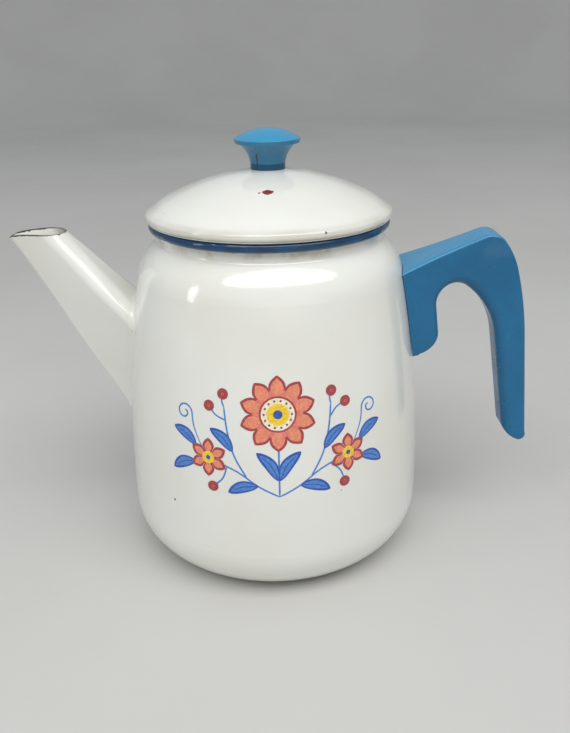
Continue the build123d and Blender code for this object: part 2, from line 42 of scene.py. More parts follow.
# ---------------------------------------------------------------- sizes shared with the CAD parts, mm
WALL_RADIUS = 70.0
BASE_CORNER = 25.0
WALL_SWEEP = 600.0
BEAD_PAINT_BOTTOM = 154.0
KNOB_BASE_TOP = 181.5
LID_RIM_PAINTED_SHADE = (163.8, 162.2)  # painted shade: the lid is drawn greyer from the first height down to the second
MOUTH_EDGE = [                  # top of the spout's cut mouth, x and z
    (-119.5, 148.6),
    (-117.6, 150.4),
    (-115.0, 151.8),
    (-110.0, 152.7),
    (-103.0, 153.0),
    (-84.0, 153.1),
]

# ---------------------------------------------------------------- colours, linear
IVORY = (0.795, 0.803, 0.765)
IVORY_WARM = (0.775, 0.773, 0.715)
# grey of the painted shade on the lid's rim
PAINTED_RIM_SHADE = (0.58, 0.565, 0.48)
# yellow-brown: real dirt on the weld, and dirt mixed with painted shade under the bead on the body
STAIN_AND_SHADE = (0.42, 0.36, 0.24)
PINHOLE = (0.10, 0.085, 0.07)
# painted contact shade round the bottom of the base
PAINTED_FOOT_SHADE = (0.17, 0.14, 0.11)
WORN_ENAMEL = (0.30, 0.26, 0.20)
CHIP_HALO = (0.88, 0.86, 0.80)
BARE_STEEL = (0.035, 0.030, 0.028)
RUST = (0.16, 0.06, 0.025)
GRIP_BLUE = (0.002, 0.115, 0.262)
GRIP_BLUE_PALE = (0.003, 0.142, 0.315)
# paler than the grip's blues: painted light on the knob, most of all on its downward-facing cone
KNOB_BLUE_PAINTED_LIGHT = (0.018, 0.165, 0.310)
KNOB_PALE_BLUE_PAINTED_LIGHT = (0.030, 0.200, 0.360)
KNOB_BASE_BLUE = (0.006, 0.075, 0.15)
KNOB_CRACK = (0.012, 0.012, 0.012)
SCRATCH_BLUE = (0.20, 0.38, 0.50)
SCUFF_BLUE = (0.22, 0.40, 0.52)
DUST = (0.40, 0.50, 0.55)
# paler blue of the painted sky reflection on the plastic's upward faces
PAINTED_SKY_BLUE = (0.040, 0.310, 0.560)
BEAD_BLUE = (0.004, 0.062, 0.165)
BEAD_BLUE_DARK = (0.003, 0.038, 0.105)
PRIMER_RED = (0.36, 0.022, 0.02)
PRIMER_DARK = (0.17, 0.012, 0.012)
BRASS = ((0.62, 0.44, 0.17), (0.36, 0.24, 0.09))
ALUMINIUM = ((0.62, 0.62, 0.61), (0.42, 0.41, 0.39))
STEEL = ((0.50, 0.49, 0.47), (0.30, 0.28, 0.26))
RUBBER = ((0.05, 0.045, 0.04), (0.10, 0.09, 0.08))
FLOOR_TONES = ((0.55, 0.545, 0.53), (0.59, 0.585, 0.57))
PRINT_COLOURS = {
    "coral": (0.80, 0.25, 0.14),
    "maroon": (0.36, 0.035, 0.045),
    "light_blue": (0.055, 0.215, 0.60),
    "dark_blue": (0.008, 0.075, 0.42),
    "cream": (0.86, 0.80, 0.62),
    "pink": (0.72, 0.19, 0.16),
    "yellow": (0.90, 0.60, 0.004),
}

# ---------------------------------------------------------------- gloss of the glaze and the print on it
GLAZE_GLOSS = {"Specular_IOR_Level": 0.5, "Coat_Weight": 0.5, "Coat_Roughness": 0.09}
BEAD_COAT = 0.12                # the painted bead is duller than the glaze
PEEL = (420, 0.011)             # noise scale and depth (mm) of the finest ripples


# ---------------------------------------------------------------- shader helper

class Shader:
    """One material, with short calls that add nodes and join them. Positions are in metres."""

    def __init__(self, name):
        self.material = bpy.data.materials.new(name)
        self.material.use_nodes = True
        self.tree = self.material.node_tree
        self.tree.nodes.clear()
        self.surface = self.add("ShaderNodeBsdfPrincipled")
        output = self.add("ShaderNodeOutputMaterial")
        self.tree.links.new(self.surface.outputs[0], output.inputs[0])
        self.place = self.add("ShaderNodeTexCoord").outputs["Object"]
        split = self.add("ShaderNodeSeparateXYZ", self.place)
        self.x, _, self.z = split.outputs

    def add(self, kind, *values, **settings):
        node = self.tree.nodes.new(kind)
        for key, value in settings.items():
            setattr(node, key, value)
        for socket, value in zip(node.inputs, values):
            self.put(socket, value)
        return node

    def put(self, socket, value):
        if isinstance(value, bpy.types.NodeSocket):
            self.tree.links.new(value, socket)
        elif value is not None:
            if isinstance(value, tuple) and len(value) == 3 and socket.type == "RGBA":
                value = (*value, 1.0)
            socket.default_value = value

    def set(self, **inputs):
        for name, value in inputs.items():
            self.put(self.surface.inputs[name.replace("_", " ")], value)

    def math(self, operation, a, b=None):
        return self.add("ShaderNodeMath", a, b, operation=operation).outputs[0]

    def in_mm(self, length):
        return self.math("MULTIPLY", length, 1 / MM)

    def noise(self, scale, detail, stretch=(1, 1, 1), rough=0.5):
        place = self.place
        if stretch != (1, 1, 1):
            place = self.add("ShaderNodeVectorMath", place, stretch, operation="MULTIPLY").outputs[0]
        node = self.add("ShaderNodeTexNoise", place)
        node.inputs["Scale"].default_value = scale
        node.inputs["Detail"].default_value = detail
        node.inputs["Roughness"].default_value = rough
        return node.outputs["Fac"]

    def waver(self, size, scale, detail, rough=0.5):
        """Noise round zero, up to about half of size to each side."""
        centred = self.math("SUBTRACT", self.noise(scale, detail, rough=rough), 0.5)
        return self.math("MULTIPLY", centred, size)

    def rise(self, value, low, high, to_low=0.0, to_high=1.0):
        """Smooth step from to_low at low to to_high at high."""
        node = self.add("ShaderNodeMapRange", value, interpolation_type="SMOOTHSTEP")
        for name, number in (("From Min", low), ("From Max", high), ("To Min", to_low), ("To Max", to_high)):
            node.inputs[name].default_value = number
        return node.outputs[0]

    def blend(self, share, a, b):
        node = self.add("ShaderNodeMix", data_type="RGBA")
        self.put(node.inputs["Factor"], share)
        self.put(node.inputs[6], a)
        self.put(node.inputs[7], b)
        return node.outputs[2]

    def tint(self, colour, mask, strength, paint):
        """The colour with a thin paint over it where the mask is 1."""
        return self.blend(self.math("MULTIPLY", mask, strength), colour, paint)

    def mottle(self, share, low, high, a, b):
        return self.blend(self.rise(share, low, high), a, b)

    def distance(self, centre, radii):
        """Distance from a centre, counted in the radii of an ellipsoid. Both in mm."""
        middle = tuple(c * MM for c in centre)
        per_radius = tuple(1 / (r * MM) for r in radii)
        away = self.add("ShaderNodeVectorMath", self.place, middle, operation="SUBTRACT")
        scaled = self.add("ShaderNodeVectorMath", away.outputs[0], per_radius, operation="MULTIPLY")
        return self.add("ShaderNodeVectorMath", scaled.outputs[0], operation="LENGTH").outputs["Value"]

    def spot(self, centre, radii, ragged, scale, soft=0.12):
        """1 inside a spot with a ragged edge, 0 outside."""
        reach = self.math("ADD", self.distance(centre, radii), self.waver(ragged, scale, 3.0))
        return self.rise(reach, 1.0 - soft, 1.0 + soft, 1.0, 0.0)

    def specks(self, scale, size, share):
        """1 inside tiny round specks. size is a part of a cell's width, share the part of cells with one."""
        node = self.add("ShaderNodeTexVoronoi", self.place)
        node.inputs["Scale"].default_value = scale
        inside = self.rise(node.outputs["Distance"], size * 0.6, size, 1.0, 0.0)
        lot = self.add("ShaderNodeSeparateColor", node.outputs["Color"]).outputs[0]
        return self.math("MULTIPLY", inside, self.rise(lot, share, share * 0.98))

    def most(self, *masks):
        """The highest of the masks at each place."""
        result = masks[0]
        for mask in masks[1:]:
            result = self.math("MAXIMUM", result, mask)
        return result

    def bump(self, *layers):
        """Bump from (height value, depth in mm) layers, one on top of the other."""
        normal = None
        for height, depth in layers:
            node = self.add("ShaderNodeBump")
            node.inputs["Strength"].default_value = 1.0
            node.inputs["Distance"].default_value = depth * MM
            self.put(node.inputs["Height"], height)
            self.put(node.inputs["Normal"], normal)
            normal = node.outputs[0]
        self.put(self.surface.inputs["Normal"], normal)


# ---------------------------------------------------------------- materials

def glaze(name, waves=0.05):
    """Glossy vitreous enamel with slow waves and faint pinholes.

    Returns the shader, its colour, and the bump layers to keep under those of the piece itself.
    """
    shader = Shader(name)
    colour = shader.mottle(shader.noise(22, 3.0), 0.35, 0.65, IVORY_WARM, IVORY)
    pinholes = shader.specks(210, 0.055, 0.05)
    colour = shader.blend(pinholes, colour, PINHOLE)
    ripple = shader.noise(55, 2.0)
    peel_scale, peel_depth = PEEL
    peel = shader.noise(peel_scale, 2.0)
    shader.set(Roughness=shader.rise(shader.noise(130, 4.0), 0.3, 0.7, 0.10, 0.20), **GLAZE_GLOSS)
    return shader, colour, [(ripple, waves), (peel, peel_depth), (pinholes, -0.05)]


def pot_enamel():
    """Body: ivory glaze, dirt and painted shade under a ragged blue bead, chips, and painted contact shade
    round the base.
    """
    shader, colour, layers = glaze("pot_enamel_look")
    height = shader.in_mm(shader.z)
    waver = shader.waver(1.5, 330, 4.0, rough=0.65)
    edge = shader.math("ADD", height, waver)
    painted = shader.rise(edge, BEAD_PAINT_BOTTOM - 0.12, BEAD_PAINT_BOTTOM + 0.12)
    blue = shader.mottle(shader.noise(120, 3.0), 0.35, 0.7, BEAD_BLUE_DARK, BEAD_BLUE)
    gap = shader.spot((-42.5, -31.0, 154.3), (5.5, 5.0, 0.9), 1.3, 500)
    painted = shader.math("MULTIPLY", painted, shader.math("SUBTRACT", 1.0, gap))
    colour = shader.blend(painted, colour, blue)
    # painted contact shade: a dark band round the lowest few millimetres of the base
    darkened = shader.rise(shader.math("ADD", height, shader.math("MULTIPLY", waver, 0.6)), 2.3, 0.7)
    colour = shader.tint(colour, darkened, 0.8, PAINTED_FOOT_SHADE)
    # partly real stain, partly painted shade: the neck just under the bead is darkened and yellowed in
    # cloudy patches
    above = shader.rise(edge, 149.0, 153.2)
    cloudy = shader.rise(shader.noise(75, 4.0, rough=0.6), 0.42, 0.68, 0.12, 0.75)
    unpainted = shader.math("SUBTRACT", 1.0, painted)
    grime_and_shade = shader.math("MULTIPLY", shader.math("MULTIPLY", above, cloudy), unpainted)
    colour = shader.blend(grime_and_shade, colour, STAIN_AND_SHADE)
    nick = shader.most(
        shader.spot((46.4, -24.8, 154.6), (1.3, 1.3, 1.1), 1.4, 900),
        shader.spot((-14.9, -51.1, 153.6), (2.4, 1.5, 0.35), 1.6, 700),
        shader.spot((-25.0, -47.0, 153.6), (3.0, 1.8, 0.3), 1.8, 700),
        shader.spot((-43.4, -54.4, 45.9), (0.5, 0.5, 0.45), 0.6, 900),
    )
    colour = shader.blend(nick, colour, BARE_STEEL)
    coat = shader.rise(painted, 0.0, 1.0, GLAZE_GLOSS["Coat_Weight"], BEAD_COAT)
    shader.set(Base_Color=colour, Coat_Weight=coat)
    shader.bump(*layers, (painted, 0.05), (nick, -0.12))
    return shader.material


def spout_enamel():
    """Spout: ivory glaze, chipped down to bare steel along the cut edge of its mouth."""
    shader, colour, layers = glaze("spout_enamel_look")
    curve = shader.add("ShaderNodeFloatCurve", 1.0)
    (first, lowest), (last, highest) = MOUTH_EDGE[0], MOUTH_EDGE[-1]
    rise = highest - lowest
    points = curve.mapping.curves[0].points
    for x, z in MOUTH_EDGE[1:-1]:
        points.new((x - first) / (last - first), (z - lowest) / rise)
    curve.mapping.update()
    along = shader.rise(shader.x, first * MM, last * MM)
    along.node.interpolation_type = "LINEAR"
    shader.put(curve.inputs["Value"], along)
    edge = shader.math("MULTIPLY_ADD", curve.outputs[0], rise)
    edge.node.inputs[2].default_value = lowest
    below = shader.math("SUBTRACT", edge, shader.in_mm(shader.z))
    ragged = shader.rise(shader.noise(230, 4.0, rough=0.7), 0.44, 0.74, 0.42, 1.15)
    bare = shader.rise(shader.math("SUBTRACT", below, ragged), -0.12, 0.12, 1.0, 0.0)
    rust = shader.mottle(shader.noise(420, 3.0), 0.56, 0.70, BARE_STEEL, RUST)
    scuff = shader.most(
        shader.spot((-93.6, -12.3, 115.5), (0.45, 0.8, 0.9), 1.3, 900),
        shader.spot((-93.0, -12.6, 113.2), (0.4, 0.8, 0.4), 1.3, 900),
    )
    colour = shader.blend(shader.most(bare, scuff), colour, rust)
    shader.set(Base_Color=colour)
    shader.bump(*layers, (bare, -0.06), (scuff, -0.1))
    return shader.material


def lid_enamel():
    """Lid: ivory glaze, greyer at its rim from painted shade, with a red chip down to the primer and two
    small pits.
    """
    shader, colour, layers = glaze("lid_enamel_look")
    halo = shader.spot((-1.4, -29.9, 173.7), (4.0, 2.6, 2.6), 0.8, 400, 0.4)
    chip = shader.most(
        shader.spot((0.2, -29.7, 173.8), (2.1, 1.9, 1.6), 1.5, 520, 0.08),
        shader.spot((1.4, -29.4, 174.0), (1.3, 1.0, 1.0), 1.2, 700, 0.08),
        shader.spot((-3.3, -30.2, 173.6), (0.5, 0.5, 0.5), 0.8, 900, 0.1),
    )
    pit = shader.most(
        shader.spot((22.5, -49.4, 161.3), (0.45, 0.5, 0.6), 0.5, 1200),
        shader.spot((7.8, 0.4, 178.8), (0.6, 0.6, 0.6), 0.7, 900),
    )
    # painted shade at the lid's rim: greyer, in uneven patches, below the first rim height
    uneven = shader.rise(shader.noise(60, 4.0), 0.3, 0.7, 0.3, 0.7)
    rim = shader.math("MULTIPLY", shader.rise(shader.in_mm(shader.z), *LID_RIM_PAINTED_SHADE), uneven)
    colour = shader.blend(rim, colour, PAINTED_RIM_SHADE)
    colour = shader.tint(colour, halo, 0.5, CHIP_HALO)
    primer = shader.mottle(shader.noise(1500, 3.0), 0.42, 0.6, PRIMER_DARK, PRIMER_RED)
    colour = shader.blend(chip, colour, primer)
    colour = shader.blend(pit, colour, BARE_STEEL)
    shader.set(Base_Color=colour)
    shader.bump(*layers, (chip, -0.14), (pit, -0.15))
    return shader.material


def plain_enamel(name):
    """Enamelled steel that is mostly hidden: the same glaze with worn, darker patches."""
    shader, colour, layers = glaze(name)
    darkened = shader.rise(shader.noise(180, 4.0, rough=0.7), 0.62, 0.72)
    shader.set(Base_Color=shader.tint(colour, darkened, 0.5, WORN_ENAMEL))
    shader.bump(*layers, (darkened, -0.03))
    return shader.material


def moulded(name, deep, pale, roughness):
    """Blue moulded plastic: fine grain, hairline scratches, and a painted sky reflection that makes it paler
    where it faces up.

    Returns the shader, its colour, and the bump layers to keep under those of the piece itself.
    """
    shader = Shader(name)
    colour = shader.mottle(shader.noise(34, 4.0), 0.32, 0.7, deep, pale)
    # painted sky reflection: the blue turns paler where the surface faces up
    normal = shader.add("ShaderNodeTexCoord").outputs["Normal"]
    upward = shader.add("ShaderNodeSeparateXYZ", normal).outputs[2]
    painted_sky_sheen = shader.rise(upward, 0.25, 0.95, 0.0, 0.75)
    colour = shader.blend(painted_sky_sheen, colour, PAINTED_SKY_BLUE)
    hairs = shader.rise(shader.noise(260, 2.0, (0.25, 1.0, 5.0)), 0.72, 0.77)
    dust = shader.specks(330, 0.08, 0.05)
    colour = shader.tint(colour, hairs, 0.06, SCRATCH_BLUE)
    colour = shader.tint(colour, dust, 0.35, DUST)
    grain = shader.noise(1900, 2.0)
    shader.set(Roughness=shader.rise(shader.noise(90, 4.0), 0.3, 0.7, *roughness))
    shader.set(Specular_IOR_Level=0.4, Coat_Weight=0.22, Coat_Roughness=0.07)
    return shader, colour, [(shader.noise(75, 2.0), 0.03), (grain, 0.006), (hairs, -0.012)]


def grip_plastic():
    """Handle: moulded blue with a faint paler scuff at the bend of the grip."""
    shader, colour, layers = moulded("grip_plastic_look", GRIP_BLUE, GRIP_BLUE_PALE, (0.20, 0.32))
    scuff = shader.spot((102.0, -9.0, 143.0), (8.0, 4.0, 4.0), 1.2, 300, 0.4)
    shader.set(Base_Color=shader.tint(colour, scuff, 0.07, SCUFF_BLUE))
    shader.bump(*layers)
    return shader.material


def knob_plastic():
    """Knob: moulded blue with a darker base and a fine crack down its front."""
    # the knob's blues are paler than the grip's as painted light
    shader, colour, layers = moulded("knob_plastic_look", KNOB_BLUE_PAINTED_LIGHT, KNOB_PALE_BLUE_PAINTED_LIGHT, (0.26, 0.38))
    base = shader.rise(shader.in_mm(shader.z), KNOB_BASE_TOP + 0.05, KNOB_BASE_TOP - 0.1)
    colour = shader.blend(base, colour, KNOB_BASE_BLUE)
    crack_x = -4.4
    across = shader.math("ADD", shader.in_mm(shader.x), shader.waver(1.6, 240, 3.0))
    off_line = shader.math("ABSOLUTE", shader.math("SUBTRACT", across, crack_x))
    line = shader.rise(off_line, 0.14, 0.3, 1.0, 0.0)
    window = shader.spot((crack_x, -7.2, 182.4), (2.5, 3.5, 3.6), 0.3, 500, 0.1)
    crack = shader.math("MULTIPLY", line, window)
    shader.set(Base_Color=shader.blend(crack, colour, KNOB_CRACK))
    shader.bump(*layers, (crack, -0.2))
    return shader.material


def metal(name, colour, dull, roughness=0.3, rings=True):
    """Bare metal with dull blotches and pits, finely brushed in rings round the axis or up and down."""
    shader = Shader(name)
    shade = shader.mottle(shader.noise(70, 4.0), 0.35, 0.7, colour, dull)
    pits = shader.specks(300, 0.07, 0.08)
    shade = shader.blend(pits, shade, tuple(c * 0.3 for c in dull))
    across = (1, 1, 12) if rings else (6, 6, 1)
    brushed = shader.noise(260, 2.0, across)
    shader.set(Base_Color=shade, Metallic=1.0)
    shader.set(Roughness=shader.rise(brushed, 0.3, 0.7, roughness, roughness + 0.16))
    shader.bump((brushed, 0.012), (pits, -0.04))
    return shader.material


def soft_seal(name, colour, pale):
    """Rubber washer: matt, crumbly grain."""
    shader = Shader(name)
    grain = shader.noise(900, 5.0, rough=0.7)
    shader.set(Base_Color=shader.mottle(grain, 0.35, 0.7, colour, pale))
    shader.set(Roughness=shader.rise(grain, 0.3, 0.7, 0.65, 0.9))
    shader.bump((grain, 0.05))
    return shader.material


def printed_glaze(colour_name):
    """Fired-on transfer print: one colour, slightly uneven, under the same gloss as the enamel."""
    base = PRINT_COLOURS[colour_name]
    shader = Shader("print_" + colour_name + "_look")
    uneven = shader.noise(900, 4.0, rough=0.7)
    paler = tuple(min(1.0, c * 1.12 + 0.02) for c in base)
    deeper = tuple(c * 0.86 for c in base)
    colour = shader.mottle(uneven, 0.36, 0.66, deeper, paler)
    missed = shader.specks(900, 0.12, 0.02)
    colour = shader.tint(colour, missed, 0.45, IVORY)
    shader.set(Base_Color=colour, Roughness=shader.rise(uneven, 0.3, 0.7, 0.14, 0.22), **GLAZE_GLOSS)
    peel_scale, peel_depth = PEEL
    shader.bump((shader.noise(55, 2.0), 0.035), (shader.noise(peel_scale, 2.0), peel_depth))
    return shader.material


def dress_nodes():
    """Gives every CAD node its finished material."""
    looks = {
        "pot_body": pot_enamel(),
        "spout": spout_enamel(),
        "lid_shell": lid_enamel(),
        "lid_skirt": plain_enamel("skirt_enamel_look"),
        "handle_bracket": plain_enamel("bracket_enamel_look"),
        "handle_grip": grip_plastic(),
        "lid_knob": knob_plastic(),
        "handle_screw": metal("handle_screw_look", *STEEL, rings=False),
        "handle_washer": metal("handle_washer_look", *STEEL, rings=False),
        "knob_screw": metal("knob_screw_look", *STEEL, rings=False),
        "knob_washer": metal("knob_washer_look", *STEEL, rings=False),
        "knob_insert": metal("knob_insert_look", *BRASS),
        "knob_gasket": soft_seal("gasket_look", *RUBBER),
        "foot_valve": metal("valve_look", *STEEL),
        "pump_tube": metal("tube_look", *ALUMINIUM, roughness=0.26),
        "pump_foot": metal("foot_look", *ALUMINIUM),
        "valve_retainer": metal("retainer_look", *ALUMINIUM),
        "basket_stop": metal("stop_look", *ALUMINIUM),
        "coffee_basket": metal("basket_look", *ALUMINIUM, roughness=0.34),
        "basket_spreader": metal("spreader_look", *ALUMINIUM, roughness=0.32),
    }
    for node, material in looks.items():
        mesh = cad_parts[node].data
        mesh.materials.clear()
        mesh.materials.append(material)


# ---------------------------------------------------------------- mesh helpers

SAME_POINT = 0.002 * MM         # points closer together than this become one


def add_piece(name, points, faces, material, body, sharp=40):
    """Makes a mesh piece from points in mm. It rides on a body, unless that is None.

    Edges that turn by more than sharp degrees stay sharp.
    """
    mesh = bpy.data.meshes.new(name)
    mesh.from_pydata([Vector(p) * MM for p in points], [], faces)
    grown = bmesh.new()
    grown.from_mesh(mesh)
    bmesh.ops.remove_doubles(grown, verts=grown.verts, dist=SAME_POINT)
    bmesh.ops.recalc_face_normals(grown, faces=grown.faces)
    grown.to_mesh(mesh)
    grown.free()
    mesh.shade_smooth()
    mesh.set_sharp_from_angle(angle=radians(sharp))
    mesh.materials.append(material)
    piece = bpy.data.objects.new(name, mesh)
    bpy.context.scene.collection.objects.link(piece)
    if body:
        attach(piece, body)
    return piece


def wall_radius(height):
    """Radius of the body's outside between its base corner and its shoulder."""
    if height < BASE_CORNER:
        return WALL_RADIUS - BASE_CORNER + sqrt(BASE_CORNER ** 2 - (BASE_CORNER - height) ** 2)
    return WALL_RADIUS - WALL_SWEEP + sqrt(WALL_SWEEP ** 2 - (height - BASE_CORNER) ** 2)


# ---------------------------------------------------------------- printed flowers, drawn flat in mm
# A drawing holds, for each colour, shapes with their levels. A shape with a higher level covers a lower one.

PRINT_RADIUS = 67.0             # lengths round the body are measured at this radius
PRINT_LIFT = 0.03               # height of level 0 over the wall
PRINT_STEP = 0.025              # each further level
PRINT_ROOT = 0.4                # how far the print is let into the wall
PRINT_MIDDLE = 2.6              # the spray's middle line, right of the body's front
STROKE = 0.75                   # widths of the brush lines: stems, berry stalks and leaf ribs
STALK = 0.7
RIB = 0.45
LEAF_BOW = 0.10                 # sideways bend of a leaf, as a part of its length
STALK_BOW = 0.12
SMALL_PETALS = 6
MAIN_PETALS = 10
DOT_COUNT = 14                  # dots round the main flower's middle
DOT_RING = 5.75
BERRY_RADIUS = 2.35
BERRY_RING = 0.5


def on_wall(flat, lift):
    """Point of the flat drawing wrapped round the front of the body."""
    turn = flat[0] / PRINT_RADIUS
    reach = wall_radius(flat[1]) + lift
    return (reach * sin(turn), -reach * cos(turn), flat[1])


def spline(p, q, r, s, t):
    """Catmull-Rom value between q and r, at share t of the way."""
    square = (2 * p - 5 * q + 4 * r - s) * t ** 2
    cube = (3 * q - p - 3 * r + s) * t ** 3
    return (2 * q + (r - p) * t + square + cube) / 2


def smooth_path(points, per_span):
    """Smooth curve through flat points, with per_span steps from each to the next."""
    padded = [points[0], *points, points[-1]]
    path = []
    for corners in zip(padded, padded[1:], padded[2:], padded[3:]):
        for step in range(per_span):
            path.append(tuple(spline(*values, step / per_span) for values in zip(*corners)))
    path.append(points[-1])
    return path


def ribbon(path, half_width, across):
    """Open shape: rows of points across a path. half_width tells its half width at a share of its length."""
    rows = []
    last = len(path) - 1
    for i, (x, y) in enumerate(path):
        before, after = path[max(i - 1, 0)], path[min(i + 1, last)]
        run = hypot(after[0] - before[0], after[1] - before[1])
        normal = (-(after[1] - before[1]) / run, (after[0] - before[0]) / run)
        half = half_width(i / last)
        row = []
        for k in range(across + 1):
            offset = half * (2 * k / across - 1)
            row.append((x + normal[0] * offset, y + normal[1] * offset))
        rows.append(row)
    return rows, False


def stroke(path, width=STROKE):
    """Brush line that narrows at both ends."""
    def half_width(share):
        return width / 2 * min(1.0, 0.45 + 6 * min(share, 1 - share))
    return ribbon(path, half_width, 1)


def fan(centre, outline, rings):
    """Filled closed shape: rows run from the centre to its outline."""
    rows = []
    for x, y in outline:
        rows.append([
            (centre[0] + (x - centre[0]) * k / rings, centre[1] + (y - centre[1]) * k / rings)
            for k in range(rings + 1)
        ])
    return rows, True


def around(centre, reach, turn):
    """Flat point at a distance and an angle from a centre."""
    return (centre[0] + reach * cos(turn), centre[1] + reach * sin(turn))


def circle(centre, radius, count):
    return [around(centre, radius, 2 * pi * k / count) for k in range(count)]


def disc(centre, radius, count=24):
    return fan(centre, circle(centre, radius, count), 2)


def petals(centre, count, inner, outer, turn, power, spread):
    """Pointed petals round a centre, each filled from its own middle.

    They are outer long at the tip and inner long at the sides. power rounds the tip, and spread is the part
    of the room round the centre that they take.
    """
    shapes = []
    half = pi / count * spread
    steps = 8
    for k in range(count):
        middle = turn + 2 * pi * k / count
        outline = []
        for step in range(-steps, steps + 1):
            share = step / steps
            reach = inner + (outer - inner) * (1 - abs(share)) ** power
            outline.append(around(centre, reach, middle + half * share))
        for side in (1, -1):
            outline.append(around(centre, inner * 0.35, middle + half * side))
        shapes.append(fan(around(centre, inner * 0.85, middle), outline, 3))
    return shapes


def spiral(centre, inner, outer, start, turns, count=30):
    """Flat spiral from its inner end outwards."""
    path = []
    for k in range(count + 1):
        share = k / count
        path.append(around(centre, inner + (outer - inner) * share ** 0.8, start + turns * 2 * pi * share))
    return path


def bent_path(start, end, bow, steps):
    """Smooth curve between two flat points. bow is its sideways bend, as a part of its length."""
    dx, dy = end[0] - start[0], end[1] - start[1]
    middle = ((start[0] + end[0]) / 2 - dy * bow, (start[1] + end[1]) / 2 + dx * bow)
    return smooth_path([start, middle, end], steps)


def draw_leaf(drawing, base, tip, width, bow):
    """Small pointed leaf: dark edge, light blade and a dark rib."""
    path = bent_path(base, tip, bow, 7)

    def blade(scale):
        return lambda share: max(0.05, width / 2 * scale * sin(pi * min(max(share, 0.02), 0.985)) ** 0.8)

    drawing["dark_blue"].append((ribbon(path, blade(1.0), 4), 1))
    drawing["light_blue"].append((ribbon(path[1:-2], blade(0.68), 4), 2))
    drawing["dark_blue"].append((stroke(path[1:-3], RIB), 3))


def draw_petals(drawing, colour, level, *shape):
    """Petals of one colour on one level. shape goes to petals."""
    for petal in petals(*shape):
        drawing[colour].append((petal, level))


def draw_small_flower(drawing, centre):
    """Petals, maroon outside and coral inside, round a yellow eye with a blue dot."""
    draw_petals(drawing, "maroon", 4, centre, SMALL_PETALS, 5.4, 8.6, pi / 2, 0.75, 0.95)
    draw_petals(drawing, "coral", 5, centre, SMALL_PETALS, 4.7, 7.3, pi / 2, 0.75, 0.66)
    drawing["yellow"].append((disc(centre, 2.7), 6))
    drawing["dark_blue"].append((disc(centre, 1.0, 14), 7))


def draw_berry(drawing, centre, foot):
    """Round berry with a fine ring on it, on a short curved stalk."""
    drawing["light_blue"].append((stroke(bent_path(foot, centre, STALK_BOW, 5), STALK), 0))
    drawing["maroon"].append((disc(centre, BERRY_RADIUS), 4))
    ring = circle(centre, BERRY_RING, 12)
    drawing["pink"].append((ribbon(ring + ring[:1], lambda share: 0.1, 1), 5))


def draw_main_flower(drawing, centre):
    """Petals with pink ones between them, round a yellow middle with a ring of dots."""
    draw_petals(drawing, "maroon", 2, centre, MAIN_PETALS, 11.6, 16.2, pi / 2, 0.62, 1.0)
    draw_petals(drawing, "coral", 3, centre, MAIN_PETALS, 10.6, 15.0, pi / 2, 0.62, 0.82)
    between = pi / 2 + pi / MAIN_PETALS
    draw_petals(drawing, "pink", 4, centre, MAIN_PETALS, 7.6, 10.6, between, 0.8, 0.6)
    drawing["maroon"].append((disc(centre, 7.7, 40), 5))
    drawing["cream"].append((disc(centre, 6.9, 40), 6))
    drawing["yellow"].append((disc(centre, 4.6, 32), 7))
    drawing["dark_blue"].append((disc(centre, 1.9), 8))
    for dot in circle(centre, DOT_RING, DOT_COUNT):
        drawing["maroon"].append((disc(dot, 0.5, 10), 7))


def flower_drawing():
    """Mirrored spray: a round flower, a small one at each side, plain leaves, berries and curls."""
    drawing = {name: [] for name in PRINT_COLOURS}
    root = (PRINT_MIDDLE, 55.5)
    stem = [root, *((PRINT_MIDDLE, height) for height in (64.0, 73.0, 82.0))]
    drawing["light_blue"].append((stroke(smooth_path(stem, 8)), 0))
    draw_main_flower(drawing, (PRINT_MIDDLE, 92.2))
    for side in (-1, 1):
        def at(across, height):
            return (PRINT_MIDDLE + side * across, height)

        curl = spiral(at(41.0, 89.5), 0.8, 3.9, pi / 2 + side * pi / 10, 1.2 * side)
        lines = [
            [root, at(8.0, 60.0), at(17.0, 66.5), at(27.0, 70.5)],
            [at(12.8, 63.5), at(18.2, 73.5), at(21.0, 84.0), at(22.4, 95.0)],
            [at(31.5, 74.0), at(34.4, 79.5), at(36.4, 84.6), *reversed(curl)],
        ]
        for line in lines:
            drawing["light_blue"].append((stroke(smooth_path(line, 4)), 0))
        for foot, tip, width in [
            (at(0.3, 63.0), at(9.0, 75.5), 5.2),
            (at(8.6, 60.4), at(21.0, 56.6), 5.4),
            (at(18.9, 75.5), at(28.6, 84.5), 5.0),
            (at(35.6, 68.4), at(47.0, 62.6), 5.4),
            (at(35.2, 76.0), at(46.4, 82.0), 5.2),
        ]:
            draw_leaf(drawing, foot, tip, width, LEAF_BOW * side)
        draw_small_flower(drawing, at(29.5, 71.5))
        for berry, foot in [
            (at(22.8, 100.0), at(22.4, 94.6)),
            (at(29.0, 94.4), at(21.9, 89.0)),
            (at(27.6, 58.6), at(21.4, 68.4)),
        ]:
            draw_berry(drawing, berry, foot)
    return drawing


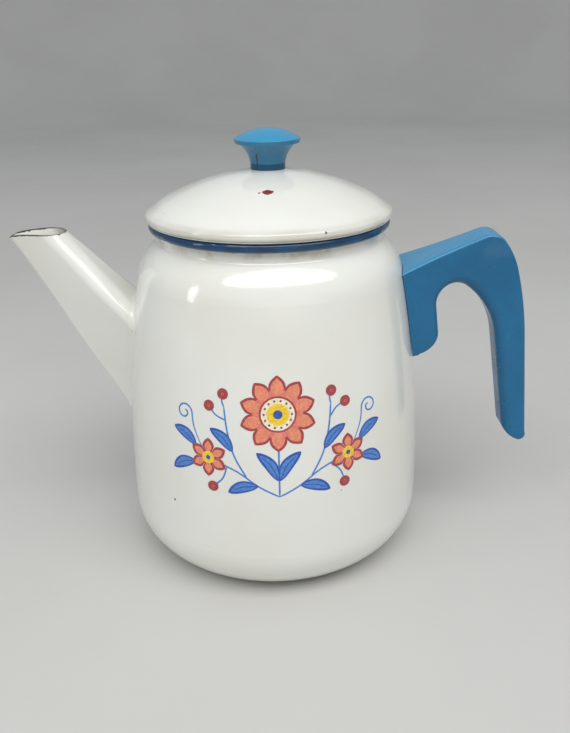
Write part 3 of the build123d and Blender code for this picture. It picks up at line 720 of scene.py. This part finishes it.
def prism(rows, closed, level):
    """Closed thin sheet on the wall over a grid of flat points: outer skin, inner skin and edges."""
    lift = PRINT_LIFT + PRINT_STEP * level
    count, wide = len(rows), len(rows[0])
    outer = [on_wall(p, lift) for row in rows for p in row]
    inner = [on_wall(p, -PRINT_ROOT) for row in rows for p in row]
    shift = count * wide
    faces = []
    last = count if closed else count - 1
    for i in range(last):
        a, b = i * wide, (i + 1) % count * wide
        for k in range(wide - 1):
            faces.append((a + k, b + k, b + k + 1, a + k + 1))
            faces.append((shift + a + k, shift + a + k + 1, shift + b + k + 1, shift + b + k))
        faces.append((a + wide - 1, b + wide - 1, shift + b + wide - 1, shift + a + wide - 1))
        if not closed:
            faces.append((a, shift + a, shift + b, b))
    if not closed:
        for start in (0, (count - 1) * wide):
            for k in range(wide - 1):
                faces.append((start + k, start + k + 1, shift + start + k + 1, shift + start + k))
    return outer + inner, faces


def add_print():
    """One thin piece of fired print for each colour."""
    for colour, shapes in flower_drawing().items():
        points, faces = [], []
        for (rows, closed), level in shapes:
            new_points, new_faces = prism(rows, closed, level)
            faces += [tuple(len(points) + i for i in face) for face in new_faces]
            points += new_points
        add_piece("print_" + colour, points, faces, printed_glaze(colour), "pot")


# ---------------------------------------------------------------- weld between spout and body

WELD_REACH = 3.0                # how far the fillet spreads over the body and over the spout
WELD_SEAT = 0.05                # how far its edges are let into them
WELD_ROOT = 0.45                # how far its back lies inside the joint
WELD_SHAPE = 6                  # steps across the fillet
WELD_COUNT = 150                # sections round the joint
WELD_SOFTENING = 4              # rounds of smoothing along the joint
ON_BODY = 0.06                  # a point this close to the body's outside lies on it


def spout_joint():
    """Closed line where the spout's outside meets the body: points (mm) with the spout's normals there.

    The faces of the spout that lie on the body are its cut end, and the longest border of those is the line.
    """
    grown = bmesh.new()
    grown.from_mesh(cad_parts["spout"].data)
    bmesh.ops.remove_doubles(grown, verts=grown.verts, dist=SAME_POINT)

    def on_body(vertex):
        x, y, z = vertex.co / MM
        return abs(hypot(x, y) - wall_radius(z)) < ON_BODY

    cut = {face for face in grown.faces if all(on_body(v) for v in face.verts)}
    border = [edge for edge in grown.edges if sorted(f in cut for f in edge.link_faces) == [False, True]]
    neighbours = {}
    for edge in border:
        for a, b in (edge.verts, reversed(edge.verts)):
            neighbours.setdefault(a, []).append(b)
    loops = []
    left = set(neighbours)
    for start in neighbours:        # in the mesh's own order, so that every run starts at the same point
        if start not in left:
            continue
        left.discard(start)
        loop = [start]
        while True:
            onward = [v for v in neighbours[loop[-1]] if v in left]
            if not onward:
                break
            loop.append(onward[0])
            left.discard(onward[0])
        loops.append(loop)

    def length(loop):
        return sum((a.co - b.co).length for a, b in zip(loop, loop[1:]))

    outer = max(loops, key=length)
    line = []
    for vertex in outer:
        normal = Vector()
        for face in vertex.link_faces:
            if face not in cut:
                normal += face.normal * face.calc_area()
        line.append((vertex.co / MM, normal.normalized()))
    grown.free()
    return line


def even_loop(line, count):
    """The closed line again, with evenly spaced and slightly softened points and normals."""
    closed = line + line[:1]
    runs = [(b[0] - a[0]).length for a, b in zip(closed, closed[1:])]
    total = sum(runs)
    places, index, passed = [], 0, 0.0
    for k in range(count):
        target = total * k / count
        while passed + runs[index] < target:
            passed += runs[index]
            index += 1
        share = (target - passed) / max(runs[index], 1e-9)
        places.append(tuple(a.lerp(b, share) for a, b in zip(closed[index], closed[index + 1])))
    for _ in range(WELD_SOFTENING):
        places = [
            tuple((p + 2 * q + r) / 4 for p, q, r in zip(before, here, after))
            for before, here, after in zip(places[-1:] + places[:-1], places, places[1:] + places[:1])
        ]
    return places


def add_weld():
    """Smooth enamelled fillet that follows the spout's joint with the body."""
    points = []
    for place, normal in even_loop(spout_joint(), WELD_COUNT):
        radial = Vector((place.x, place.y, 0)).normalized()
        spout_out = normal.normalized()
        over_body = (spout_out - radial * spout_out.dot(radial)).normalized()
        over_spout = (radial - spout_out * radial.dot(spout_out)).normalized()
        start = place + over_body * WELD_REACH
        seat = Vector((start.x, start.y, 0)).normalized() * (wall_radius(start.z) - WELD_SEAT)
        start = Vector((seat.x, seat.y, start.z))
        end = place + over_spout * WELD_REACH - spout_out * WELD_SEAT
        for step in range(WELD_SHAPE + 1):
            t = step / WELD_SHAPE
            points.append(start * (1 - t) ** 2 + place * (2 * t * (1 - t)) + end * t ** 2)
        points.append(place - (radial + spout_out) * WELD_ROOT)
    wide = WELD_SHAPE + 2
    faces = []
    for k in range(WELD_COUNT):
        a, b = k * wide, (k + 1) % WELD_COUNT * wide
        faces += [(a + i, b + i, b + (i + 1) % wide, a + (i + 1) % wide) for i in range(wide)]
    shader, colour, layers = glaze("weld_enamel_look", waves=0.06)
    rub = shader.specks(190, 0.16, 0.22)
    shader.set(Base_Color=shader.tint(colour, rub, 0.45, STAIN_AND_SHADE))
    shader.bump(*layers, (shader.noise(300, 3.0), 0.03))
    add_piece("spout_weld", points, faces, shader.material, "pot", sharp=60)


# ---------------------------------------------------------------- stage

CAMERA_TARGET = (5.81, 0.0, 84.97)      # mm
CAMERA_DISTANCE = 367.62
CAMERA_PITCH = 0.40048                  # radians below the horizon
CAMERA_ROLL = -0.01854
CAMERA_LENS = 37.33                     # for the default 36 mm sensor
FLOOR_RINGS = (0.02, 0.3, 0.8, 2.2)     # radii on the flat part, metres
FLOOR_WALL = 0.9                        # radius and height of the curve at its edge, metres
FLOOR_CURVE_STEPS = 12
FLOOR_SIDES = 96


def add_camera():
    """Camera in front of the pot, looking slightly down at it."""
    data = bpy.data.cameras.new("camera")
    data.lens = CAMERA_LENS
    data.clip_start = 0.01
    data.clip_end = 50.0
    camera = bpy.data.objects.new("camera", data)
    bpy.context.scene.collection.objects.link(camera)
    target = Vector(CAMERA_TARGET) * MM
    back = Vector((0, -cos(CAMERA_PITCH), sin(CAMERA_PITCH))) * CAMERA_DISTANCE * MM
    turn = Euler((pi / 2 - CAMERA_PITCH, 0, 0)).to_matrix() @ Matrix.Rotation(CAMERA_ROLL, 3, "Z")
    camera.matrix_world = Matrix.Translation(target + back) @ turn.to_4x4()
    bpy.context.scene.camera = camera


def add_floor():
    """Round pale floor that curves up into a low wall all round, so no horizon line shows."""
    profile = [(radius, 0.0) for radius in FLOOR_RINGS]
    for k in range(1, FLOOR_CURVE_STEPS + 1):
        angle = pi / 2 * k / FLOOR_CURVE_STEPS
        profile.append((FLOOR_RINGS[-1] + FLOOR_WALL * sin(angle), FLOOR_WALL * (1 - cos(angle))))
    wide = len(profile)
    points, faces = [], []
    for k in range(FLOOR_SIDES):
        turn = 2 * pi * k / FLOOR_SIDES
        points += [(r * cos(turn) / MM, r * sin(turn) / MM, z / MM) for r, z in profile]
        a, b = k * wide, (k + 1) % FLOOR_SIDES * wide
        faces += [(a + i, b + i, b + i + 1, a + i + 1) for i in range(wide - 1)]
    faces.append(tuple(k * wide for k in range(FLOOR_SIDES)))
    shader = Shader("floor_look")
    shader.set(Base_Color=shader.mottle(shader.noise(3.0, 4.0), 0.3, 0.7, *FLOOR_TONES))
    shader.set(Roughness=shader.rise(shader.noise(60, 3.0), 0.3, 0.7, 0.55, 0.7))
    shader.bump((shader.noise(700, 3.0), 0.02))
    floor = add_piece("floor", points, faces, shader.material, None)


def add_light(name, place, aim, size, power, colour):
    """Oval soft box that looks at a point. Metres and watts."""
    data = bpy.data.lights.new(name, "AREA")
    data.shape = "ELLIPSE"
    data.size, data.size_y = size
    data.energy = power
    data.color = colour
    lamp = bpy.data.objects.new(name, data)
    bpy.context.scene.collection.objects.link(lamp)
    lamp.location = place
    lamp.rotation_euler = (Vector(aim) - Vector(place)).to_track_quat("-Z", "Y").to_euler()


def add_lights():
    """A wide soft box high in front, a weak low one, a tall one at the left, and a pale surround."""
    add_light("key", (0.16, -0.78, 1.42), (0, 0, 0.10), (2.6, 0.95), 22, (1.0, 0.985, 0.955))
    add_light("low_front", (0.6, -2.1, 0.45), (0, 0, 0.06), (2.4, 0.7), 2.2, (1.0, 0.99, 0.98))
    add_light("left_tall", (-1.45, -0.62, 0.50), (0, 0, 0.1), (0.22, 0.8), 2.2, (0.95, 0.98, 1.0))
    world = bpy.data.worlds.new("surround")
    world.use_nodes = True
    background = world.node_tree.nodes["Background"]
    background.inputs[0].default_value = (0.93, 0.965, 1.0, 1.0)
    background.inputs[1].default_value = 0.47
    bpy.context.scene.world = world
    bpy.context.scene.view_settings.view_transform = "Standard"


add_camera()
add_floor()
add_lights()
dress_nodes()
add_print()
add_weld()
